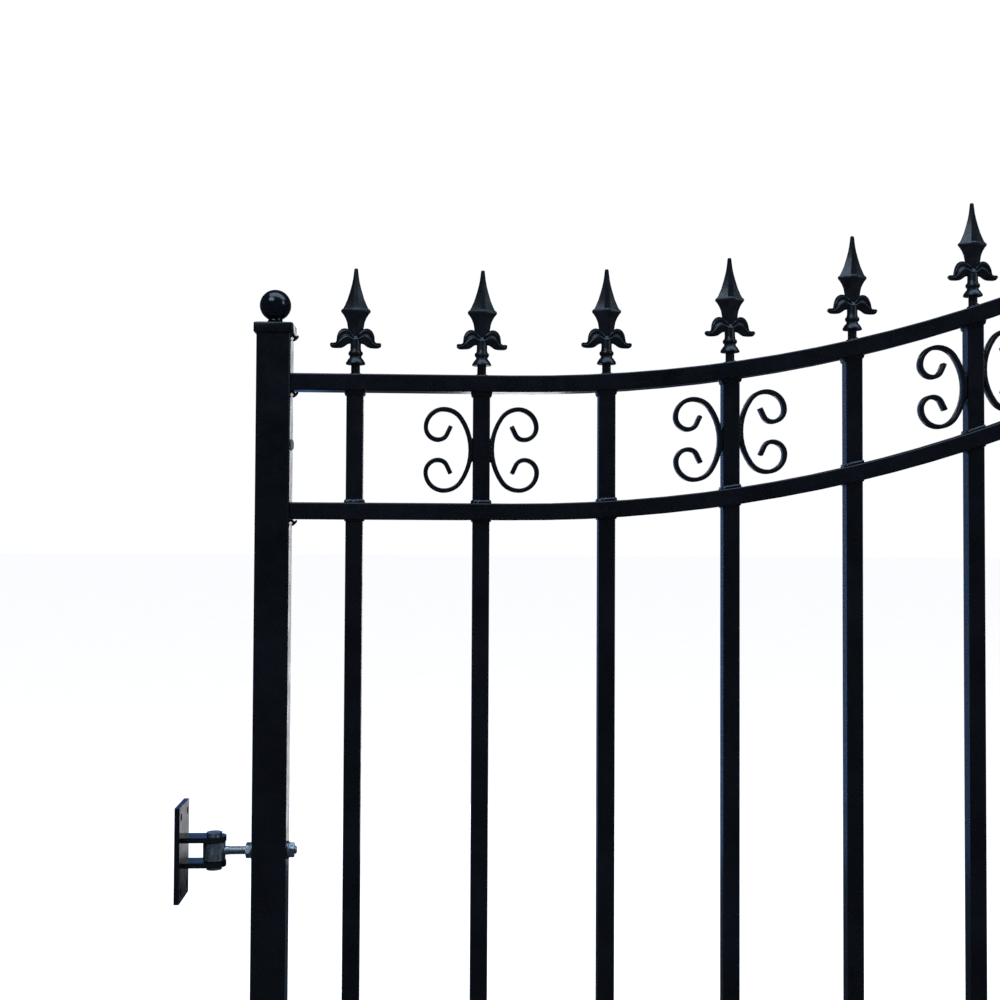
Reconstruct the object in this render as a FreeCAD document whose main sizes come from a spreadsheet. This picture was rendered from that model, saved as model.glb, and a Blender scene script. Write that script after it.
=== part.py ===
import FreeCAD, Part
import math
import os

import Sketcher
from FreeCAD import Placement, Rotation, Vector

# Double-leaf steel garden gate, closed. Millimetres, +Z up, ground at Z = 0.
# X runs along the gate with the meeting line at X = 0. Y is the gate's thickness, and both
# leaves open towards +Y. Every leaf piece is drawn for the left leaf; the right leaf is the
# same set of pieces turned half a turn about Z.

ORIGIN = Vector(0, 0, 0)
X_AXIS = Vector(1, 0, 0)
Y_AXIS = Vector(0, 1, 0)
Z_AXIS = Vector(0, 0, 1)
ALONG_Z = Rotation()
ALONG_X = Rotation(Y_AXIS, 90)
ALONG_Y = Rotation(X_AXIS, -90)
LEAF_TURN = {"left": 0, "right": 180}

SIZES = {
    # stiles, pickets and rails
    "stile_width": 40, "stile_wall": 2, "stile_corner": 3, "stile_bottom": 50, "stile_rise": 47,
    "picket_width": 20, "picket_wall": 1.5, "picket_corner": 2, "picket_count": 11,
    "picket_spacing": 150, "end_gap": 75, "centre_gap": 12,
    "rail_height": 20, "rail_depth": 30, "rail_wall": 1.5, "rail_corner": 2,
    "top_rail_z": 1380, "rail_offset": 152, "bottom_rail_z": 100, "lower_rail_offset": 152,
    # run of the curved rails: level, a valley arc, then a crown arc, level at the meeting line
    "straight_length": 260, "valley_radius": 1776, "crown_radius": 1776,
    # stile caps, balls and foot plugs
    "cap_overhang": 3, "cap_height": 12, "cap_chamfer": 3, "skirt_length": 18,
    "ball_diameter": 37, "ball_neck": 17, "ball_foot": 25, "neck_height": 6,
    "plug_lip": 3, "plug_length": 16,
    # cast spear finials
    "finial_height": 127, "spear_width": 35, "spear_depth": 16, "waist_width": 18,
    "leaf_span": 60, "leaf_depth": 9, "collar_width": 23, "stem_width": 11,
    # scrolls: a flat bar bent to a C of tangent arcs with straight ends, its back on the picket
    "scroll_bar": 5, "scroll_depth": 12, "scroll_back": 66.8, "scroll_shoulder": 24.4,
    "scroll_top": 21.6, "scroll_curl": 14.8, "scroll_lean": 34.6, "scroll_pad": 24,
    "scroll_curl_turn": 150, "scroll_tail": 10, "scroll_drop": 2.4,
    # hinges
    "upper_hinge_z": 820, "lower_hinge_z": 186, "pin_offset": 45, "plate_offset": 35,
    "pin_diameter": 12, "pin_clearance": 0.05, "eye_diameter": 26, "eye_height": 22,
    "bolt_diameter": 10, "bolt_clearance": 0.25, "bolt_beyond_nut": 3,
    "nut_flats": 16, "nut_height": 6, "washer_diameter": 21, "washer_thickness": 2,
    "face_gap": 0.5, "plate_width": 60, "plate_height": 110, "plate_thickness": 6,
    "ear_thickness": 6, "ear_width": 28, "mount_hole": 9, "mount_pitch_y": 40,
    "mount_pitch_z": 86, "pin_head": 18, "pin_head_height": 4, "pin_collar_height": 4,
    # plug in the vent hole of a hinge stile's inner wall
    "vent_drop": 84, "vent_diameter": 10, "vent_plug": 14, "vent_plug_stand": 3,
    # corner screws, at 45 degrees under the rail ends and the caps
    "screw_diameter": 4, "screw_head": 9, "screw_head_height": 2.5, "screw_stand": 5.2,
    "screw_reach": 12,
    # sliding latch through the meeting stiles
    "latch_z": 1000, "latch_diameter": 16, "latch_clearance": 0.05, "latch_travel": 40,
    "guide_diameter": 22, "flange_diameter": 30, "flange_thickness": 3, "guide_beyond": 2,
    "latch_recess": 3, "keeper_clearance": 1.5, "keeper_wall": 1.5, "keeper_lip": 2,
    "keeper_length": 16, "handle_diameter": 10,
    "handle_run_out": 3, "handle_reach": 60, "knob_diameter": 18, "latch_tail": 8,
    # drop rod behind the right meeting stile
    "rod_diameter": 14, "rod_clearance": 0.05, "rod_top": 470, "rod_stand": 11,
    "rod_handle": 70, "rod_collar": 20, "rod_collar_height": 8, "rod_point": 6,
    "rod_guide_width": 32, "rod_guide_depth": 22, "rod_guide_height": 16,
    "rod_guide_low": 150, "rod_guide_high": 392,
}

doc = FreeCAD.newDocument("garden_gate")
dims = doc.addObject("Spreadsheet::Sheet", "dims")
for row, (alias, number) in enumerate(SIZES.items(), start=1):
    dims.set(f"A{row}", alias)
    dims.set(f"B{row}", str(number))
    dims.setAlias(f"B{row}", alias)
doc.recompute()


def value(expression):
    """What an expression comes to now, as a plain number."""
    return float(dims.evalExpression(expression))


# Places worked out from the sheet. X values are on the left leaf.
INNER_WIDTH = "(2 * dims.end_gap + (dims.picket_count - 1) * dims.picket_spacing)"
MEETING_FACE = "(-dims.centre_gap / 2)"
MEETING_INNER = f"({MEETING_FACE} - dims.stile_width)"
HINGE_INNER = f"({MEETING_INNER} - {INNER_WIDTH})"
HINGE_OUTER = f"({HINGE_INNER} - dims.stile_width)"
PIN_X = f"({HINGE_OUTER} - dims.pin_offset)"
FIRST_PICKET = f"({HINGE_INNER} + dims.end_gap)"
HINGE_LEVELS = (("upper", "dims.upper_hinge_z"), ("lower", "dims.lower_hinge_z"))
BOTTOM_RAIL_TOP = "(dims.bottom_rail_z + dims.rail_height)"
LOWER_RAIL_Z = "(dims.bottom_rail_z + dims.lower_rail_offset)"
SECOND_RAIL_Z = "(dims.top_rail_z - dims.rail_offset)"
CURVE_START = f"({HINGE_INNER} + dims.straight_length)"
CURVE_RUN = f"(-{CURVE_START})"
RADII = "(dims.valley_radius + dims.crown_radius)"
CURVE_RISE = f"({RADII} - sqrt({RADII}^2 - {CURVE_RUN}^2))"
INFLECTION_X = f"({CURVE_START} + {CURVE_RUN} * dims.valley_radius / {RADII})"
MEETING_RISE = f"(sqrt(dims.crown_radius^2 - {MEETING_INNER}^2) - dims.crown_radius)"
CROWN_Z = f"(dims.top_rail_z + {CURVE_RISE})"
STILE_TOP = {
    "hinge": "(dims.top_rail_z + dims.stile_rise)",
    "meeting": f"({CROWN_Z} + {MEETING_RISE} + dims.stile_rise)",
}
PICKET_COUNT = round(value("dims.picket_count"))


def rail_top(x):
    """Height of the top rail's upper edge at x on the left leaf: level, valley arc, crown arc."""
    start = value(CURVE_START)
    if x <= start:
        return value("dims.top_rail_z")
    if x <= value(INFLECTION_X):
        radius = value("dims.valley_radius")
        return value("dims.top_rail_z") + radius - math.sqrt(radius**2 - (x - start) ** 2)
    radius = value("dims.crown_radius")
    return value(CROWN_Z) - radius + math.sqrt(radius**2 - x**2)


def picket_x(index):
    """Centre line of a picket, counted from the hinge stile."""
    return value(f"{FIRST_PICKET} + {index} * dims.picket_spacing")


# ---------------------------------------------------------------- document helpers


def bind(item, **expressions):
    """Set properties of an object from expressions."""
    for name, expression in expressions.items():
        item.setExpression(name, expression)
    return item


def put(item, x="0", y="0", z="0", turn=ALONG_Z):
    """Turn an object and bind its place to expressions."""
    item.Placement = Placement(ORIGIN, turn)
    item.setExpression("Placement.Base.x", x)
    item.setExpression("Placement.Base.y", y)
    item.setExpression("Placement.Base.z", z)
    return item


def cylinder(name, diameter, length, x="0", y="0", z="0", turn=ALONG_Z):
    """Part cylinder that starts at a place and runs along the turned Z axis."""
    item = doc.addObject("Part::Cylinder", name)
    bind(item, Radius=f"({diameter}) / 2", Height=length)
    return put(item, x, y, z, turn)


def box(name, length, width, height, x, y, z):
    """Part box with sides parallel to the axes, placed by its lowest corner."""
    item = doc.addObject("Part::Box", name)
    bind(item, Length=length, Width=width, Height=height)
    return put(item, x, y, z)


def fuse(name, *items):
    item = doc.addObject("Part::MultiFuse", name)
    item.Shapes = list(items)
    return item


def cut(name, base, *tools):
    item = doc.addObject("Part::Cut", name)
    item.Base = base
    item.Tool = tools[0] if len(tools) == 1 else fuse(name + "_tools", *tools)
    return item


def group(name, *items):
    """Several separate solids that share one node."""
    item = doc.addObject("Part::Compound", name)
    item.Links = list(items)
    return item


def feature(name, shape):
    """A piece that Part's own functions shape, from sizes read off the sheet."""
    item = doc.addObject("Part::Feature", name)
    item.Shape = shape
    return item


def new_sketch(body, name, role):
    """Empty sketch on one of the body's own origin planes."""
    sketch = body.newObject("Sketcher::SketchObject", name)
    plane = next(part for part in body.Origin.OriginFeatures if part.Role == role)
    sketch.AttachmentSupport = (plane, "")
    sketch.MapMode = "FlatFace"
    return sketch


def add_rectangle(sketch, width, height):
    """Rectangle centred on the sketch's origin, with its sides bound to expressions."""
    half_w = value(width) / 2
    half_h = value(height) / 2
    corners = [Vector(-half_w, -half_h), Vector(half_w, -half_h)]
    corners += [Vector(half_w, half_h), Vector(-half_w, half_h)]
    first = sketch.GeometryCount
    for index in range(4):
        sketch.addGeometry(Part.LineSegment(corners[index], corners[(index + 1) % 4]))
    for index in range(4):
        following = first + (index + 1) % 4
        sketch.addConstraint(Sketcher.Constraint("Coincident", first + index, 2, following, 1))
        direction = "Horizontal" if index % 2 == 0 else "Vertical"
        sketch.addConstraint(Sketcher.Constraint(direction, first + index))
    sketch.addConstraint(Sketcher.Constraint("Symmetric", first, 1, first + 2, 1, -1, 1))
    for edge, kind, length in ((first, "DistanceX", width), (first + 1, "DistanceY", height)):
        datum = sketch.addConstraint(Sketcher.Constraint(kind, edge, 1, edge, 2, value(length)))
        sketch.setExpression(f"Constraints[{datum}]", length)


def add_pad(body, name, sketch, length, both_ways=False):
    pad = body.newObject("PartDesign::Pad", name)
    pad.Profile = sketch
    pad.SideType = "Symmetric" if both_ways else "One side"
    return bind(pad, Length=length)


def add_pocket(body, name, sketch, length, both_ways=True):
    pocket = body.newObject("PartDesign::Pocket", name)
    pocket.Profile = sketch
    pocket.SideType = "Symmetric" if both_ways else "One side"
    return bind(pocket, Length=length)


def add_fillet(body, name, base, radius, wanted):
    """Round the base feature's edges for which wanted(edge) is true."""
    doc.recompute()
    edges = [f"Edge{n}" for n, edge in enumerate(base.Shape.Edges, start=1) if wanted(edge)]
    fillet = body.newObject("PartDesign::Fillet", name)
    fillet.Base = (base, edges)
    return bind(fillet, Radius=radius)


def tube(name, width, depth, wall, corner, length, x, z, turn=ALONG_Z):
    """Straight rectangular tube as a body: a hollow section padded to its length."""
    body = doc.addObject("PartDesign::Body", name)
    sketch = new_sketch(body, name + "_section", "XY_Plane")
    add_rectangle(sketch, width, depth)
    add_rectangle(sketch, f"{width} - 2 * {wall}", f"{depth} - 2 * {wall}")
    pad = add_pad(body, name + "_length", sketch, length)
    half_width = value(width) / 2

    def outer_corner(edge):
        ends = [vertex.Point for vertex in edge.Vertexes]
        upright = abs(ends[0].z - ends[-1].z) > 1
        return upright and abs(abs(ends[0].x) - half_width) < 1e-6

    add_fillet(body, name + "_corners", pad, corner, outer_corner)
    return put(body, x, "0", z, turn)


# ---------------------------------------------------------------- curved rails


def add_rail_outline(sketch, level, above, below):
    """Outline of a band that follows the rails' run: straight, valley arc, crown arc.

    level is the height of the run's straight stretch; the band lies between a line that is
    `above` over the run and one that is `below` under it.
    """
    start, corner, end = value(HINGE_INNER), value(CURVE_START), value(MEETING_INNER)
    valley = Vector(corner, value(f"{level} + dims.valley_radius"))
    crown = Vector(0, value(f"{level} + {CURVE_RISE} - dims.crown_radius"))
    tilt = math.asin(value(f"{CURVE_RUN} / {RADII}"))

    def edges(offset):
        """Straight and two arcs, `offset` over the run."""
        height = value(f"{level} + {offset}")
        valley_radius = value(f"dims.valley_radius - ({offset})")
        crown_radius = value(f"dims.crown_radius + ({offset})")
        line = Part.LineSegment(Vector(start, height), Vector(corner, height))
        low = Part.Circle(valley, Z_AXIS, valley_radius)
        high = Part.Circle(crown, Z_AXIS, crown_radius)
        stop = math.acos(end / crown_radius)
        down = -math.pi / 2
        return (
            line,
            Part.ArcOfCircle(low, down, down + tilt),
            Part.ArcOfCircle(high, stop, tilt - down),
        )

    first = sketch.GeometryCount
    for edge in edges(above) + edges(f"-({below})"):
        sketch.addGeometry(edge)
    top_line, top_valley, top_crown = first, first + 1, first + 2
    low_line, low_valley, low_crown = first + 3, first + 4, first + 5

    def end_line(upper, upper_end, lower, lower_end):
        points = [sketch.getPoint(upper, upper_end), sketch.getPoint(lower, lower_end)]
        edge = sketch.addGeometry(Part.LineSegment(*points))
        sketch.addConstraint(Sketcher.Constraint("Coincident", edge, 1, upper, upper_end))
        sketch.addConstraint(Sketcher.Constraint("Coincident", edge, 2, lower, lower_end))
        sketch.addConstraint(Sketcher.Constraint("Vertical", edge))
        return edge

    start_line = end_line(top_line, 1, low_line, 1)
    end_line(top_crown, 1, low_crown, 1)
    for line, low, high in ((top_line, top_valley, top_crown), (low_line, low_valley, low_crown)):
        sketch.addConstraint(Sketcher.Constraint("Horizontal", line))
        sketch.addConstraint(Sketcher.Constraint("Tangent", line, 2, low, 1))
        sketch.addConstraint(Sketcher.Constraint("Tangent", low, 2, high, 2))
    sketch.addConstraint(Sketcher.Constraint("Coincident", top_valley, 3, low_valley, 3))
    sketch.addConstraint(Sketcher.Constraint("Coincident", top_crown, 3, low_crown, 3))
    sketch.addConstraint(Sketcher.Constraint("PointOnObject", top_crown, 3, -2))
    bound = [
        ("Radius", (top_valley,), f"dims.valley_radius - ({above})"),
        ("Radius", (top_crown,), f"dims.crown_radius + ({above})"),
        ("DistanceX", (-1, 1, top_line, 1), HINGE_INNER),
        ("DistanceY", (-1, 1, top_line, 1), f"{level} + {above}"),
        ("DistanceX", (top_line, 1, top_line, 2), "dims.straight_length"),
        ("DistanceX", (-1, 1, top_crown, 1), MEETING_INNER),
        ("DistanceY", (start_line, 2, start_line, 1), f"{above} + {below}"),
    ]
    for kind, where, expression in bound:
        datum = sketch.addConstraint(Sketcher.Constraint(kind, *where, value(expression)))
        sketch.setExpression(f"Constraints[{datum}]", expression)


def curved_band(name, level, above, below, depth):
    """Solid that follows the rails' run, `depth` thick in Y."""
    body = doc.addObject("PartDesign::Body", name)
    sketch = new_sketch(body, name + "_outline", "XZ_Plane")
    add_rail_outline(sketch, level, above, below)
    add_pad(body, name + "_depth", sketch, depth, both_ways=True)
    return body


def curved_rail(name, level):
    """Hollow rail whose upper edge follows the run at `level`."""
    body = curved_band(name, level, "0", "dims.rail_height", "dims.rail_depth")
    ends = (value(HINGE_INNER), value(MEETING_INNER))

    def long_edge(edge):
        """Runs along the rail: not across it, and not up one of its ends."""
        points = [vertex.Point for vertex in edge.Vertexes]
        across = abs(points[0].y - points[-1].y) > 1
        at_end = any(all(abs(point.x - end) < 1e-6 for point in points) for end in ends)
        return not across and not at_end

    add_fillet(body, name + "_corners", body.Tip, "dims.rail_corner", long_edge)
    cavity = new_sketch(body, name + "_cavity_outline", "XZ_Plane")
    add_rail_outline(cavity, level, "-dims.rail_wall", "dims.rail_height - dims.rail_wall")
    add_pocket(body, name + "_cavity", cavity, "dims.rail_depth - 2 * dims.rail_wall")
    return body


# ---------------------------------------------------------------- small pieces


def prism_nut(name, x, z):
    """Hexagon nut on the hinge bolt, from x towards +X."""
    blank = doc.addObject("Part::Prism", name + "_blank")
    blank.Polygon = 6
    bind(blank, Circumradius="dims.nut_flats / sqrt(3)", Height="dims.nut_height")
    put(blank, x, "0", z, ALONG_X)
    bore = cylinder(name + "_bore", "dims.bolt_diameter", "dims.nut_height", x, "0", z, ALONG_X)
    return cut(name, blank, bore)


def washer(name, x, z):
    disc = cylinder(name + "_disc", "dims.washer_diameter", "dims.washer_thickness",
                    x, "0", z, ALONG_X)
    bore = cylinder(name + "_bore", "dims.bolt_diameter", "dims.washer_thickness",
                    x, "0", z, ALONG_X)
    return cut(name, disc, bore)


def square_block(name, width, length, x, z):
    """Solid square bar standing at a place, centred on Y = 0."""
    return box(name, width, width, length, f"{x} - {width} / 2", f"-{width} / 2", z)


def stile_cap(name, x, z):
    """Chamfered cover on a stile's end, with a skirt that fits the tube."""
    body = doc.addObject("PartDesign::Body", name)
    outline = new_sketch(body, name + "_outline", "XY_Plane")
    across = "(dims.stile_width + 2 * dims.cap_overhang)"
    add_rectangle(outline, across, across)
    plate = add_pad(body, name + "_plate", outline, "dims.cap_height")
    doc.recompute()
    height = value("dims.cap_height")
    rim = [
        f"Edge{index}" for index, edge in enumerate(plate.Shape.Edges, start=1)
        if all(abs(vertex.Z - height) < 1e-6 for vertex in edge.Vertexes)
    ]
    chamfer = body.newObject("PartDesign::Chamfer", name + "_chamfer")
    chamfer.Base = (plate, rim)
    bind(chamfer, Size="dims.cap_chamfer")
    inside = "(dims.stile_width - 2 * dims.stile_wall)"
    skirt = new_sketch(body, name + "_skirt_outline", "XY_Plane")
    add_rectangle(skirt, inside, inside)
    add_pad(body, name + "_skirt", skirt, "dims.skirt_length").Reversed = True
    return put(body, x, "0", z)


def stile_ball(name, x, z):
    """Ball on a flared neck that stands on the cap."""
    neck = cylinder(name + "_neck", "dims.ball_neck",
                    "dims.neck_height + dims.ball_diameter / 4", x, "0", z)
    foot = doc.addObject("Part::Cone", name + "_foot")
    bind(foot, Radius1="dims.ball_foot / 2", Radius2="dims.ball_neck / 2",
         Height="dims.neck_height / 2")
    put(foot, x, "0", z)
    ball = doc.addObject("Part::Sphere", name + "_ball")
    bind(ball, Radius="dims.ball_diameter / 2")
    # The ball sinks on to the neck until its edge meets the neck's rim.
    sink = "sqrt(dims.ball_diameter^2 - dims.ball_neck^2) / 2"
    put(ball, x, "0", f"{z} + dims.neck_height + {sink}")
    return fuse(name, neck, foot, ball)


def foot_plug(name, x):
    inside = "(dims.stile_width - 2 * dims.stile_wall)"
    lip = square_block(name + "_lip", "dims.stile_width", "dims.plug_lip", x,
                       "dims.stile_bottom - dims.plug_lip")
    core = square_block(name + "_core", inside, "dims.plug_length", x, "dims.stile_bottom")
    return fuse(name, lip, core)


def screw_at(x, z, away):
    """Shape of a screw driven at 45 degrees up into the corner at (x, z).

    away is +1 where the corner faces +X and -1 where it faces -X.
    """
    stand = value("dims.screw_stand")
    head = value("dims.screw_head_height")
    shank = Part.makeCylinder(value("dims.screw_diameter") / 2, stand + value("dims.screw_reach"))
    cheese = Part.makeCylinder(value("dims.screw_head") / 2, head, Vector(0, 0, -head))
    screw = cheese.fuse(shank).removeSplitter()
    lean = away * math.sin(math.radians(45)) * stand
    place = Vector(x + lean, 0, z - abs(lean))
    screw.Placement = Placement(place, Rotation(Y_AXIS, -45 * away))
    return screw


# ---------------------------------------------------------------- cast finials and scrolls


def finial_shape():
    """One spear finial standing on Z = 0: stem, collar, ring, two leaves and a spear point."""
    height = value("dims.finial_height")
    stem = value("dims.stem_width") / 2
    collar = value("dims.collar_width") / 2
    waist = value("dims.waist_width") / 2
    spear = value("dims.spear_width") / 2
    span = value("dims.leaf_span") / 2
    tip = stem * 0.4

    def turned(*profile):
        points = [Vector(0, 0, profile[0][1])]
        points += [Vector(radius, 0, z) for radius, z in profile]
        points += [Vector(0, 0, profile[-1][1]), points[0]]
        return Part.Face(Part.makePolygon(points)).revolve(ORIGIN, Z_AXIS, 360)

    def plate(points, depth):
        corners = [Vector(x, -depth / 2, z) for x, z in points + points[:1]]
        return Part.Face(Part.makePolygon(corners)).extrude(Vector(0, depth, 0))

    collar_low, collar_high = 0.10 * height, 0.147 * height
    ring_low, ring_high = 0.185 * height, 0.225 * height
    foot = -value("dims.rail_height")
    spindle = turned(
        (stem, foot), (stem, collar_low), (collar, collar_low), (collar, collar_high),
        (stem, collar_high), (stem, ring_low), (0.7 * collar, ring_low),
        (0.7 * collar, ring_high), (stem, ring_high), (stem, 0.5 * height),
    )
    right_leaf = [
        (0, 0.26 * height), (0.6 * span, 0.25 * height), (span, 0.285 * height),
        (0.82 * span, 0.33 * height), (0.76 * span, 0.37 * height),
        (0.5 * span, 0.42 * height), (waist, 0.45 * height), (0, 0.46 * height),
    ]
    left_leaf = [(-x, z) for x, z in reversed(right_leaf[1:-1])]
    leaves = plate(right_leaf + left_leaf, value("dims.leaf_depth"))
    right_side = [
        (waist, 0.43 * height), (waist, 0.47 * height), (spear, 0.60 * height),
        (0.78 * spear, 0.66 * height), (0.42 * spear, 0.79 * height),
        (0.21 * spear, 0.90 * height), (tip, height),
    ]
    left_side = [(-x, z) for x, z in reversed(right_side)]
    blade = plate(right_side + left_side, value("dims.spear_depth"))
    return spindle.fuse([leaves, blade]).removeSplitter()


def leaf_finials(name, rail_band):
    """A finial over every picket, its stem cut to the top rail's slope."""
    master = finial_shape()
    below = rail_band.Shape
    solids = []
    for index in range(PICKET_COUNT):
        x = picket_x(index)
        one = master.translated(Vector(x, 0, rail_top(x))).cut(below)
        solids.append(max(one.Solids, key=lambda solid: solid.Volume))
    return feature(name, Part.makeCompound(solids))


def scroll_shape():
    """One C scroll, its back flat against X = 0 and its curls towards +X, centred on Z = 0."""
    half_bar = value("dims.scroll_bar") / 2
    depth = value("dims.scroll_depth")
    back = value("dims.scroll_back")
    shoulder = value("dims.scroll_shoulder")
    top = value("dims.scroll_top")
    curl = value("dims.scroll_curl")
    lean = math.radians(value("dims.scroll_lean"))
    turn = math.radians(value("dims.scroll_curl_turn"))
    tail = value("dims.scroll_tail")
    back_centre = (half_bar + back, 0)
    shoulder_centre = (
        back_centre[0] - (back - shoulder) * math.cos(lean),
        (back - shoulder) * math.sin(lean),
    )
    top_centre = (shoulder_centre[0], shoulder_centre[1] + shoulder - top)
    curl_centre = (top_centre[0] + top - curl, top_centre[1])
    # Upper half of the bar's centre line, from the back's middle round to the straight end:
    # centre, radius, first angle and last angle, all turning clockwise.
    arcs = [
        (back_centre, back, math.pi, math.pi - lean),
        (shoulder_centre, shoulder, math.pi - lean, math.pi / 2),
        (top_centre, top, math.pi / 2, 0),
        (curl_centre, curl, 0, -turn),
    ]

    def point(centre, radius, angle):
        across = centre[0] + radius * math.cos(angle)
        return Vector(across, 0, centre[1] + radius * math.sin(angle))

    def arc(centre, radius, begin, end):
        points = [point(centre, radius, angle) for angle in (begin, (begin + end) / 2, end)]
        return Part.Arc(*points).toShape()

    outer = [arc(centre, radius + half_bar, a, b) for centre, radius, a, b in arcs]
    inner = [arc(centre, radius - half_bar, a, b) for centre, radius, a, b in arcs]
    centre, radius, _, last = arcs[-1]
    onward = Vector(math.sin(last), 0, -math.cos(last)) * tail
    corners = [point(centre, radius + half_bar, last), point(centre, radius - half_bar, last)]
    corners[1:1] = [corners[0] + onward, corners[1] + onward]
    ends = [Part.makeLine(corners[index], corners[index + 1]) for index in range(3)]
    root = Part.makeLine(point(*arcs[0][:2], math.pi) + Vector(-half_bar, 0, 0),
                         point(*arcs[0][:2], math.pi) + Vector(half_bar, 0, 0))
    wire = Part.Wire(Part.__sortEdges__(outer + inner + ends + [root]))
    upper = Part.Face(wire).extrude(Vector(0, depth, 0)).translated(Vector(0, -depth / 2, 0))
    lower = upper.mirror(ORIGIN, Z_AXIS)
    pad_height = value("dims.scroll_pad")
    pad = Part.makeBox(half_bar, depth, pad_height, Vector(0, -depth / 2, -pad_height / 2))
    return upper.fuse([lower, pad]).removeSplitter()


def leaf_scrolls(name):
    """A pair of C scrolls back to back on every second picket, just under half way between the
    rails."""
    right_hand = scroll_shape()
    left_hand = right_hand.mirror(ORIGIN, X_AXIS)
    half_picket = value("dims.picket_width") / 2
    reach = half_picket + value("dims.scroll_top")
    middle = value("(dims.rail_height + dims.rail_offset) / 2 + dims.scroll_drop")
    solids = []
    for index in range(1, PICKET_COUNT, 2):
        x = picket_x(index)
        for shape, side in ((left_hand, -1), (right_hand, 1)):
            height = rail_top(x + side * reach) - middle
            solids.append(shape.translated(Vector(x + side * half_picket, 0, height)))
    return feature(name, Part.makeCompound(solids))


# ---------------------------------------------------------------- one leaf


def build_leaf(side):
    """All the pieces of a leaf, as {node name: object}."""
    nodes = {}
    tag = f"{side}_draft_"
    stile_x = {
        "hinge": f"({HINGE_INNER} - dims.stile_width / 2)",
        "meeting": f"({MEETING_FACE} - dims.stile_width / 2)",
    }

    # Corner screws come first, because the tubes are cut round them.
    corners = []
    for inner, x, away in (("hinge", HINGE_INNER, 1), ("meeting", MEETING_INNER, -1)):
        at = value(x)
        rise = 0 if inner == "hinge" else rail_top(at) - value("dims.top_rail_z")
        undersides = [value("dims.bottom_rail_z"), value(LOWER_RAIL_Z)]
        undersides += [
            value(f"{level} - dims.rail_height") + rise
            for level in (SECOND_RAIL_Z, "dims.top_rail_z")
        ]
        corners += [(at, z, away) for z in undersides + [value(STILE_TOP[inner])]]
    screws = feature(tag + "screws", Part.makeCompound([screw_at(*corner) for corner in corners]))
    nodes["rail_screws"] = group(f"{side}_rail_screws", screws)

    # Finials and pickets are trimmed to the curved rail, above and below it.
    under_rail = curved_band(tag + "rail_band", "dims.top_rail_z", "0",
                             "3 * dims.rail_height", "2 * dims.stile_width")
    over_pickets = curved_band(tag + "picket_trim", "dims.top_rail_z",
                               f"{CURVE_RISE} + dims.rail_height", "dims.rail_height",
                               "2 * dims.stile_width")
    doc.recompute()

    # Rails: two curved ones on top, two straight ones at the foot.
    square = ("dims.picket_width", "dims.picket_width")
    passes = []
    pickets = {}
    for index in range(PICKET_COUNT):
        x = f"({FIRST_PICKET} + {index} * dims.picket_spacing)"
        length = f"({CROWN_Z} - {BOTTOM_RAIL_TOP})"
        blank = tube(tag + f"picket_{index + 1}", *square, "dims.picket_wall",
                     "dims.picket_corner", length, x, BOTTOM_RAIL_TOP)
        pickets[index] = cut(f"{side}_picket_{index + 1:02d}", blank, over_pickets)
        passes.append(square_block(tag + f"punch_{index + 1}", "dims.picket_width", length,
                                   x, BOTTOM_RAIL_TOP))
    punch = group(tag + "punch", *passes)
    top_rail = curved_rail(tag + "top_rail", "dims.top_rail_z")
    second_rail = curved_rail(tag + "second_rail", SECOND_RAIL_Z)
    # A straight rail's section is drawn across the X axis, so its height comes first.
    straight = ("dims.rail_height", "dims.rail_depth", "dims.rail_wall", "dims.rail_corner",
                INNER_WIDTH)
    half_height = "dims.rail_height / 2"
    lower_rail = tube(tag + "lower_rail", *straight, HINGE_INNER,
                      f"{LOWER_RAIL_Z} + {half_height}", ALONG_X)
    bottom_rail = tube(tag + "bottom_rail", *straight, HINGE_INNER,
                       f"dims.bottom_rail_z + {half_height}", ALONG_X)
    nodes["top_rail"] = cut(f"{side}_top_rail", top_rail, screws)
    nodes["second_rail"] = cut(f"{side}_second_rail", second_rail, punch, screws)
    nodes["lower_rail"] = cut(f"{side}_lower_rail", lower_rail, punch, screws)
    nodes["bottom_rail"] = cut(f"{side}_bottom_rail", bottom_rail, screws)
    for index, picket in pickets.items():
        nodes[f"picket_{index + 1:02d}"] = picket

    # Eye bolts through the hinge stile, each with a nut and a washer on both faces.
    bolts, nuts, bolt_holes = [], [], []
    for label, z in HINGE_LEVELS:
        stack = "(dims.washer_thickness + dims.nut_height)"
        reach = f"(dims.pin_offset + dims.stile_width + {stack} + dims.bolt_beyond_nut)"
        rod = cylinder(tag + label + "_rod", "dims.bolt_diameter", reach, PIN_X, "0", z, ALONG_X)
        eye_low = f"({z} - dims.eye_height / 2)"
        eye = cylinder(tag + label + "_eye", "dims.eye_diameter", "dims.eye_height",
                       PIN_X, "0", eye_low)
        bore = cylinder(tag + label + "_eye_bore", "dims.pin_diameter + 2 * dims.pin_clearance",
                        "dims.eye_height", PIN_X, "0", eye_low)
        bolts.append(cut(tag + label + "_eye_bolt", fuse(tag + label + "_bolt", rod, eye), bore))
        outside = f"({HINGE_OUTER} - dims.washer_thickness)"
        inside = f"({HINGE_INNER} + dims.washer_thickness)"
        nuts += [
            washer(tag + label + "_outer_washer", outside, z),
            prism_nut(tag + label + "_outer_nut", f"{outside} - dims.nut_height", z),
            washer(tag + label + "_inner_washer", HINGE_INNER, z),
            prism_nut(tag + label + "_inner_nut", inside, z),
        ]
        bolt_holes.append(cylinder(tag + label + "_bolt_hole",
                                   "dims.bolt_diameter + 2 * dims.bolt_clearance",
                                   "dims.stile_width", HINGE_OUTER, "0", z, ALONG_X))
    nodes["eye_bolts"] = group(f"{side}_eye_bolts", *bolts)
    nodes["hinge_nuts"] = group(f"{side}_hinge_nuts", *nuts)

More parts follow.
